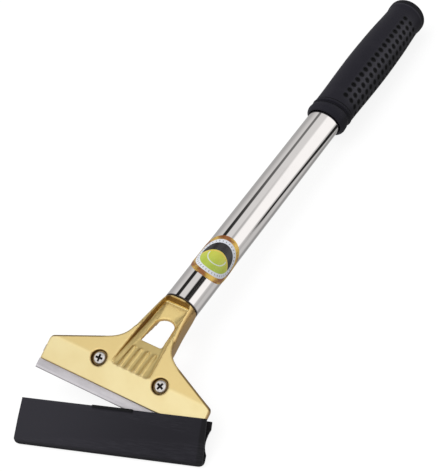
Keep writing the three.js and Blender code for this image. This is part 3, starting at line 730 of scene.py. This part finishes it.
def rubberRecipe(paint):
    side, along, out = paint.split(paint.local(gripPlace))
    grain = paint.noise(paint.local(handle), *gripRubber["grain"])
    clouds = paint.noise(paint.local(handle), *gripRubber["clouds"])
    pit, panel = dimpleMask(paint, side, along, out)
    lean = out * (grip["ringLean"] / grip["collar"]) - side * (grip["ringTurn"] / grip["collar"])
    ring = along + grip["ringDrop"] + lean
    grooves = paint.most(*[paint.band(ring, *line) for line in gripRubber["grooveLines"]])
    base = paint.layers(
        gripRubber["black"],
        (paint.ramp(clouds, *gripRubber["dustRange"]) * gripRubber["dustShare"], gripRubber["dust"]),
        # Painted highlight on the panels, and painted shade in their dimples
        (panel * gripRubber["panelLightShare"], gripRubber["between"]),
        (pit * gripRubber["pitShadeShare"], gripRubber["pit"]),
        # Painted shade to the right, and a painted highlight along the left
        (paint.ramp(side, *gripRubber["rightRange"]) * gripRubber["rightShadeShare"], gripRubber["pit"]),
        (paint.ramp(0 - side, *gripRubber["leftRange"]) * gripRubber["leftShare"], gripRubber["between"]),
        # Painted shade in the grooves and at the far end, and a painted highlight line round the far end
        (grooves * gripRubber["grooveShadeShare"], gripRubber["pit"]),
        (paint.band(along, *gripRubber["rimLine"]) * gripRubber["rimHighlightShare"], gripRubber["between"]),
        (paint.ramp(along, *gripRubber["endRange"]) * gripRubber["endShadeShare"], gripRubber["pit"]),
    )
    rough = gripRubber["roughness"] + clouds * gripRubber["cloudRough"]
    return {
        "Base Color": base,
        "Specular IOR Level": gripRubber["specular"],
        "Roughness": rough + grain * gripRubber["grainRough"],
        "Normal": paint.bump(grain, *gripRubber["bump"]),
    }


def between(stations, at):
    # The radius at a place, on a smooth curve through the stations
    last = len(stations) - 1

    def slope(index):
        before, after = stations[max(index - 1, 0)], stations[min(index + 1, last)]
        return (after[1] - before[1]) / (after[0] - before[0])

    index = 0
    while index < last - 1 and at > stations[index + 1][0]:
        index += 1
    (low, first), (high, second) = stations[index], stations[index + 1]
    span = high - low
    part = min(max((at - low) / span, 0), 1)
    rest = 1 - part
    return (first * rest * rest * (1 + 2 * part) + second * part * part * (1 + 2 * rest)
            + span * rest * part * (slope(index) * rest - slope(index + 1) * part))


def gripProfile():
    length, bore, soft = grip["length"], grip["bore"], grip["boreSoft"]
    mouth, rise, reach = grip["collar"], grip["lipRise"], grip["lipReach"]
    inside = length - grip["endWall"]
    hollow = [(0, inside), (bore - soft, inside), (bore, inside - soft)]
    hollow += [(bore, at) for at in grip["boreStations"]]
    lip = [(mouth - rise * (1 - math.sin(angle)), reach * (1 - math.cos(angle)))
           for angle in quarterTurn(grip["lipSteps"])]
    collar = [(between(grip["collarLine"], at), at) for at in grip["collarStations"]]
    grooves = [(radius, at) for at, radius in grip["grooves"] + grip["fineGroove"]]
    half = grip["dimplePitch"] / 2
    panel = [grip["dimpleFirst"] - half / 2 + half * index for index in range(grip["dimpleCount"] * 2)]
    outside = [(between(grip["body"], at), at) for at in grip["bodyFirst"] + panel + grip["bodyLast"]]
    flare, turn = grip["body"][-1][1], grip["endRound"]
    end = length - grip["endDome"] - turn
    nose = [(flare - turn * (1 - math.cos(angle)), end + turn * math.sin(angle))
            for angle in quarterTurn(grip["endSteps"])]
    dome = [(radius, length - drop) for drop, radius in grip["domeSteps"]]
    return hollow + lip + collar + grooves + outside + nose + dome


def slant(spot):
    # How far along the grip a spot of its mouth or its ring of grooves is moved
    side, along, out = spot.x / grip["collar"], spot.y, spot.z / grip["collar"]
    mouth = max(1 - along / grip["mouthReach"], 0)
    rise = (along - grip["ringFrom"]) / (grip["ringFull"] - grip["ringFrom"])
    fall = (grip["ringTo"] - along) / (grip["ringTo"] - grip["ringFade"])
    ring = max(min(rise, fall, 1), 0)
    return (mouth * (grip["mouthLift"] - grip["mouthLean"] * out)
            - ring * (grip["ringDrop"] + grip["ringLean"] * out - grip["ringTurn"] * side))


def dimpled(face):
    # Whether an outer face is one of the panels' dimples
    step = 360 / grip["facets"]
    middle = face.calc_center_median()
    turn = math.degrees(math.atan2(middle.x, middle.z)) - grip["dimpleTurn"]
    row = ((turn + step) % 180 - step) / (2 * step)
    spot = (middle.y - grip["dimpleFirst"]) / grip["dimplePitch"]
    outer = math.hypot(middle.x, middle.z) > grip["bore"] + grip["boreNear"]
    onRow = abs(row - round(row)) < grip["dimpleNear"] and round(row) < grip["dimpleRows"]
    onSpot = abs(spot - round(spot)) < grip["dimpleNear"] and 0 <= round(spot) < grip["dimpleCount"]
    return outer and onRow and onSpot


def gripForm():
    # The facets are turned until a row of dimples falls in the middle of one
    form = spun([(radius * grip["swell"], at) for radius, at in gripProfile()], grip["facets"])
    turn = turned(grip["dimpleTurn"] - 360 / grip["facets"] / 2 - 90, "Y")
    bmesh.ops.rotate(form, cent=(0, 0, 0), matrix=turn, verts=form.verts)
    for vert in form.verts:
        vert.co.y += slant(vert.co)
    pressed = [face for face in form.faces if dimpled(face)]
    for rim, depth in ((grip["dimpleRim"], 0), (grip["dimpleWall"], -grip["dimpleDepth"])):
        bmesh.ops.inset_individual(form, faces=pressed, thickness=rim, depth=depth, use_even_offset=True)
    print("dimples pressed:", len(pressed))
    return form


rubber = newMaterial("rubber", rubberRecipe)
gripMesh = meshFrom(gripForm(), "grip_skin", gripPlace, grip["smoothBelow"])
gripPiece = addPiece("grip_skin", gripMesh, rubber, "tool", "rubber", "grip")
smoothing = gripPiece.modifiers.new("round", "SUBSURF")
smoothing.levels = smoothing.render_levels = grip["smoothing"]


# Round label: a gold ring, a white ring with ticks and a two-tone disc, with nothing written on it
labelPrint = {
    "at": 90.0, "radius": 10.35, "turn": 20.0, "smoothBelow": 40,
    "gold": colour(222, 184, 88), "darkGold": colour(158, 98, 52), "white": colour(214, 217, 224),
    "tick": colour(96, 90, 84), "leaf": colour(190, 194, 70), "lime": colour(168, 186, 66),
    "black": colour(30, 27, 28),
    "foil": (0.16, 2), "darkGoldRange": (0.4, 0.62), "foilRange": (12.8, 13.0), "whiteRange": (10.1, 10.3),
    "ticks": 36, "tickRange": (0.1, 0.16), "tickLine": (11.5, 0.5, 0.12), "tickShare": 0.8,
    "bow": 0.05, "limeRange": (2, -8), "blackRange": (3.9, 4.2), "goldLine": (3.4, 0.35, 0.1),
    "arcLine": (5.6, 0.35, 0.1), "arcRange": (2.4, 2.6), "arcShare": 0.7,
    "ink": (0.5, 3), "roughness": 0.32, "inkRough": 0.1, "foilMetallic": 0.6, "coat": 0.3,
}


def labelRecipe(paint):
    place = paint.local(handle @ Matrix.Translation((0, labelPrint["at"], 0)))
    side, along, out = paint.split(place)
    across = (paint.math("ARCTAN2", side, out) - math.radians(labelPrint["turn"])) * labelPrint["radius"]
    reach = paint.reach(across, along)
    around = paint.math("ARCTAN2", across, along) * (labelPrint["ticks"] / (2 * math.pi))
    tick = 1 - paint.ramp(abs(paint.math("FRACT", around) - 0.5), *labelPrint["tickRange"])
    tick = tick * paint.band(reach, *labelPrint["tickLine"])
    bow = along + across * across * labelPrint["bow"]
    arc = paint.band(reach, *labelPrint["arcLine"]) * (1 - paint.ramp(bow, *labelPrint["arcRange"]))
    dark = paint.ramp(paint.noise(place, *labelPrint["foil"]), *labelPrint["darkGoldRange"])
    foil = paint.mix(dark, labelPrint["gold"], labelPrint["darkGold"])
    white = paint.mix(tick * labelPrint["tickShare"], labelPrint["white"], labelPrint["tick"])
    foilMask = paint.ramp(reach, *labelPrint["foilRange"])
    base = paint.layers(
        labelPrint["leaf"],
        (paint.ramp(along, *labelPrint["limeRange"]), labelPrint["lime"]),
        (paint.ramp(bow, *labelPrint["blackRange"]), labelPrint["black"]),
        (paint.band(bow, *labelPrint["goldLine"]), labelPrint["gold"]),
        (arc * labelPrint["arcShare"], labelPrint["white"]),
        (paint.ramp(reach, *labelPrint["whiteRange"]), white),
        (foilMask, foil),
    )
    ink = paint.noise(place, *labelPrint["ink"])
    return {
        "Base Color": base,
        "Metallic": foilMask * labelPrint["foilMetallic"],
        "Roughness": labelPrint["roughness"] + ink * labelPrint["inkRough"],
        "Coat Weight": labelPrint["coat"],
    }


paper = newMaterial("label", labelRecipe)
labelMesh = meshFrom(nodeForm("sticker", handle), "label", handle, labelPrint["smoothBelow"])
addPiece("label", labelMesh, paper, "tool", "sticker", "sticker")


# Moulded plastic of the blade cover: black, with painted shade to the right, on its tab, along its
# lower edge and at its right end, and with fine scuffs
coverPlastic = {
    "black": colour(42, 41, 47), "dark": colour(28, 27, 33), "scuff": colour(62, 61, 68),
    "tongue": colour(12, 12, 14),
    "rightShadeRange": (-45, 40), "lowRange": (0.4, 2.4), "lowShadeShare": 0.75,
    "endRange": (49.0, 50.2), "endShadeShare": 0.8, "tongueRange": (23.3, 23.4), "tongueLine": (0, 11.3, 0.1),
    "scratch": (1, 4, 0.75, (0.12, 2.2, 1.5)), "scratchRange": (0.68, 0.76), "scratchShare": 0.05,
    "edgeRange": (0.52, 0.62), "rubRange": (0.45, 0.6), "rubShare": 0.2,
    "flow": (0.05, 3, 0.6, (0.5, 2.5, 1)), "grain": (4, 2, 0.6), "bump": (0.00003, 0.35),
    "specular": 0.15, "roughness": 0.42, "flowRough": 0.12, "scuffRough": 0.05,
}

# Blade cover, with its tab, which is all above its height, a little lower than in the solids
slipCover = {"height": 24.65, "tabDrop": 1.0, "bevel": 0.35, "bevelSteps": 3}


def plasticRecipe(paint):
    place = paint.local(cover)
    side, rise, _ = paint.split(place)
    flow = paint.noise(place, *coverPlastic["flow"])
    scratch = paint.noise(place, *coverPlastic["scratch"])
    edge = paint.ramp(paint.pointiness(), *coverPlastic["edgeRange"])
    rub = edge * paint.ramp(scratch, *coverPlastic["rubRange"])
    scuffed = paint.ramp(scratch, *coverPlastic["scratchRange"]) * coverPlastic["scratchShare"]
    scuffed = scuffed + rub * coverPlastic["rubShare"]
    low = 1 - paint.ramp(rise, *coverPlastic["lowRange"])
    tongue = paint.ramp(rise, *coverPlastic["tongueRange"]) * paint.band(side, *coverPlastic["tongueLine"])
    base = paint.layers(
        coverPlastic["black"],
        # Painted shade to the right, along the lower edge and at the right end
        (paint.ramp(side, *coverPlastic["rightShadeRange"]), coverPlastic["dark"]),
        (low * coverPlastic["lowShadeShare"], coverPlastic["tongue"]),
        (paint.ramp(side, *coverPlastic["endRange"]) * coverPlastic["endShadeShare"], coverPlastic["tongue"]),
        (scuffed, coverPlastic["scuff"]),
        # Painted shade on the tab
        (tongue, coverPlastic["tongue"]),
    )
    rough = coverPlastic["roughness"] + flow * coverPlastic["flowRough"]
    return {
        "Base Color": base,
        "Specular IOR Level": coverPlastic["specular"],
        "Roughness": rough + scuffed * coverPlastic["scuffRough"],
        "Normal": paint.bump(paint.noise(place, *coverPlastic["grain"]), *coverPlastic["bump"]),
    }


def coverForm():
    form = bevelled("blade_cover", cover, slipCover["bevel"], slipCover["bevelSteps"])
    for vert in form.verts:
        if vert.co.y > slipCover["height"]:
            vert.co.y -= slipCover["tabDrop"]
    return form


plastic = newMaterial("cover_plastic", plasticRecipe)
coverMesh = meshFrom(coverForm(), "cover_skin", cover)
addPiece("cover_skin", coverMesh, plastic, "cover", "cover_plastic", "blade_cover")


# Floor, light and surroundings
studio = {
    "floorSize": 8.0, "floorGrey": 0.55, "floorShow": 0.15, "floorGlow": 0.868,
    "fill": 0.72, "keyPower": 22, "keySize": 1.6, "keySpot": (-0.7, -0.5, 1.9), "keyAim": (0, 0, 0.05),
}


def floorMaterial():
    # Grey to the object, and to the camera a glow that still takes a shadow
    material = bpy.data.materials.new("floor")
    material.use_nodes = True
    paint = Paint(material.node_tree)
    grey, show, glow = studio["floorGrey"], studio["floorShow"], studio["floorGlow"]
    plain = paint.node("ShaderNodeBsdfDiffuse", None, {"Color": (grey, grey, grey, 1)})
    shown = paint.node("ShaderNodeBsdfDiffuse", None, {"Color": (show, show, show, 1)})
    lit = paint.node("ShaderNodeEmission", None, {"Color": (1, 1, 1, 1), "Strength": glow})
    seen = paint.node("ShaderNodeAddShader", None, {0: shown, 1: lit})
    toCamera = paint.node("ShaderNodeLightPath", out="Is Camera Ray")
    surface = paint.node("ShaderNodeMixShader", None, {0: toCamera, 1: plain, 2: seen})
    paint.node("ShaderNodeOutputMaterial", None, {"Surface": surface})
    return material


def addFloor():
    form = bmesh.new()
    bmesh.ops.create_grid(form, x_segments=1, y_segments=1, size=studio["floorSize"] / 2)
    mesh = bpy.data.meshes.new("floor")
    form.to_mesh(mesh)
    form.free()
    floor = bpy.data.objects.new("floor", mesh)
    bpy.context.scene.collection.objects.link(floor)
    mesh.materials.append(floorMaterial())
    floor.visible_glossy = False


# What bright metal mirrors, by the angle round the tube in degrees: walls that get paler from left
# to right and darker below, with a dark line, bar and post. Directions that lean toward the grip's
# end change from near to far, and behind there are only pale walls with two thin streaks.
mirrored = {
    "aheadRange": (0.1, 0.45), "nearRange": (0.58, 0.592), "farRange": (0.595, 0.665),
    "leftLow": 0.44, "leftHigh": 0.68, "leftRange": (-95, -45),
    "top": 0.74, "topRange": (-40, -30),
    "right": 1.08, "rightRange": (27, 43), "rightShift": 7,
    "lowHigh": 0.6, "lowLow": 0.3, "lowRange": (138, 165), "lowEdgeRange": (90, 98), "lowShift": 14,
    "dipLine": (25, 7, 4), "dip": 0.36,
    "lineAt": -31, "lineHalf": 12, "lineSlim": -3, "lineSoft": 3, "lineFade": 0.22,
    "barLine": (37, 16.5, 4),
    "postAt": 111, "postShift": 27, "postHalf": 8, "postWiden": 10, "postSoft": 3, "postFade": 0.85,
    "darkShare": 0.97,
    "pale": 1.08, "streakLines": ((-31, 5, 3), (62, 5, 3)), "streakShare": 0.85,
    "backRange": (95, 160), "backShare": 0.4,
}


def darkUprights(paint, angle, near, far):
    lineHalf = mirrored["lineHalf"] + mirrored["lineSlim"] * far
    postHalf = mirrored["postHalf"] + mirrored["postWiden"] * far
    line = paint.band(angle, mirrored["lineAt"], lineHalf, mirrored["lineSoft"])
    bar = paint.band(angle, *mirrored["barLine"])
    post = paint.band(angle - mirrored["postShift"] * far, mirrored["postAt"], postHalf, mirrored["postSoft"])
    line = line * (1 - far * mirrored["lineFade"])
    post = post * (1 - near * mirrored["postFade"])
    return paint.most(line, bar * near, post)


def mirroredShade(paint):
    side, away, up = paint.split(paint.node("ShaderNodeTexCoord", out="Generated"))
    angle = paint.math("ARCTAN2", side, up) * (180 / math.pi)
    near = 1 - paint.ramp(away, *mirrored["nearRange"])
    far = paint.ramp(away, *mirrored["farRange"])
    left = mirrored["leftLow"]
    left = left + (mirrored["leftHigh"] - left) * paint.ramp(angle, *mirrored["leftRange"])
    low = mirrored["lowHigh"]
    low = low + (mirrored["lowLow"] - low) * paint.ramp(angle, *mirrored["lowRange"])
    shade = left + (mirrored["top"] - left) * paint.ramp(angle, *mirrored["topRange"])
    toRight = paint.ramp(angle + far * mirrored["rightShift"], *mirrored["rightRange"])
    shade = shade + (mirrored["right"] - mirrored["top"]) * toRight
    shade = shade * (1 - paint.band(angle, *mirrored["dipLine"]) * (1 - far) * mirrored["dip"])
    toLow = paint.ramp(angle - far * mirrored["lowShift"], *mirrored["lowEdgeRange"])
    shade = shade + (low - mirrored["right"]) * toLow
    shade = shade * (1 - darkUprights(paint, angle, near, far) * mirrored["darkShare"])
    streaks = paint.most(*[paint.band(angle, *line) for line in mirrored["streakLines"]])
    back = paint.ramp(abs(angle), *mirrored["backRange"])
    behind = (1 - streaks * mirrored["streakShare"]) * (1 - back * mirrored["backShare"]) * mirrored["pale"]
    return behind + (shade - behind) * paint.ramp(away, *mirrored["aheadRange"])


def addWorld():
    world = bpy.data.worlds.new("studio")
    bpy.context.scene.world = world
    world.use_nodes = True
    paint = Paint(world.node_tree)
    toCamera = paint.node("ShaderNodeLightPath", out="Is Camera Ray")
    toGlossy = paint.node("ShaderNodeLightPath", out="Is Glossy Ray")
    strength = studio["fill"] + (mirroredShade(paint) - studio["fill"]) * toGlossy
    strength = strength + (1 - strength) * toCamera
    surface = paint.node("ShaderNodeBackground", None, {"Color": (1, 1, 1, 1), "Strength": strength})
    paint.node("ShaderNodeOutputWorld", None, {"Surface": surface})


def addKey():
    light = bpy.data.lights.new("key", "AREA")
    light.shape = "DISK"
    light.size = studio["keySize"]
    light.energy = studio["keyPower"]
    lamp = bpy.data.objects.new("key", light)
    spot = Vector(studio["keySpot"])
    turn = (spot - Vector(studio["keyAim"])).to_track_quat("Z", "Y")
    lamp.matrix_world = Matrix.Translation(spot) @ turn.to_matrix().to_4x4()
    lamp.visible_glossy = False
    bpy.context.scene.collection.objects.link(lamp)


addFloor()
addWorld()
addKey()
bpy.context.scene.view_settings.view_transform = "Standard"
print("studio set")
